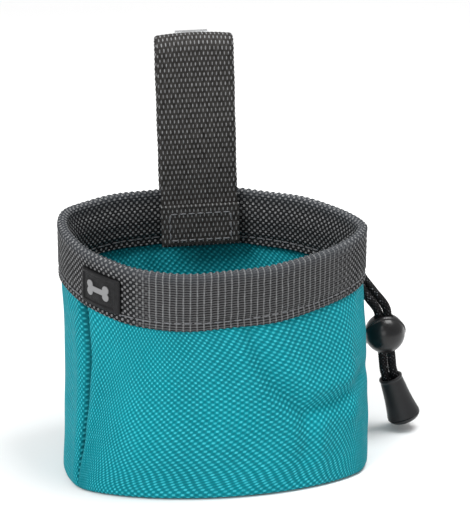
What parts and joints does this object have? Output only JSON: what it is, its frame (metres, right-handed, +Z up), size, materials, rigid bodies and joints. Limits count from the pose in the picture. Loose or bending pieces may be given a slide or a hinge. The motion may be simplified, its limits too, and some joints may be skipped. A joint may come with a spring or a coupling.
{
  "type": "treat pouch",
  "caption": "Small soft oval fabric belt pouch with a webbing rim, a webbing belt loop with a spring clip, and a drawcord with a ball cord lock and a bell cord end.",
  "frame": {"origin": "centre of the base's underside, on the surface the pouch stands on", "axes": "+Z up, -Y towards the front of the pouch, +Y towards the belt loop, +X towards the drawcord's exit"},
  "size_m": [0.1188, 0.0891, 0.1295],
  "materials": {
    "teal_cloth": "matte",
    "teal_thread": "matte",
    "grey_webbing": "matte",
    "grey_thread": "matte",
    "black_rubber": "satin",
    "spring_steel": "polished",
    "black_cord": "matte",
    "black_plastic": "satin"
  },
  "bodies": {
    "pouch": {"front_panel": "teal_cloth", "back_panel": "teal_cloth", "base_panel": "teal_cloth", "side_seam_stitching": "teal_thread", "rim_band": "grey_webbing", "band_stitching": "grey_thread", "strap_loop": "grey_webbing", "strap_stitching": "grey_thread", "label_patch": "black_rubber", "label_motif": "black_rubber", "belt_clip_plate": "spring_steel", "clip_rivets": "spring_steel", "drawcord_loop": "black_cord"},
    "cord_tails": {"drawcord_tail_outer": "black_cord", "drawcord_tail_inner": "black_cord", "cord_end_bell": "black_plastic", "cord_end_cap": "black_plastic", "drawcord_knot": "black_cord"},
    "cord_lock": {"cord_lock_body": "black_plastic", "cord_lock_spring": "spring_steel"},
    "lock_button": {"cord_lock_plunger": "black_plastic"},
    "clip_arm": {"belt_clip_arm": "spring_steel"}
  },
  "joints": [
    {"name": "tails_swing", "type": "hinge", "parent": "pouch", "child": "cord_tails", "pos_m": [0.045, 0.0306, 0.0619], "axis": [0.6428, -0.766, 0], "range_deg": [0, 60], "deforming": ["drawcord_tail_outer", "drawcord_tail_inner"]},
    {"name": "lock_slide", "type": "slide", "parent": "cord_tails", "child": "cord_lock", "axis": [-0.1132, 0, 0.9936], "range_m": [-0.005, 0.001]},
    {"name": "lock_button_press", "type": "slide", "parent": "cord_lock", "child": "lock_button", "axis": [0, -1, 0], "range_m": [0, 0.0016], "stiffness_N_per_m": 500, "springref_m": -0.002, "deforming": ["cord_lock_spring"]},
    {"name": "clip_arm_flex", "type": "hinge", "parent": "pouch", "child": "clip_arm", "pos_m": [-0.00193, 0.05443, 0.12378], "axis": [0.9997, 0, 0.0262], "range_deg": [0, 12], "stiffness_Nm_per_rad": 0.6, "springref_deg": -2.86}
  ]
}
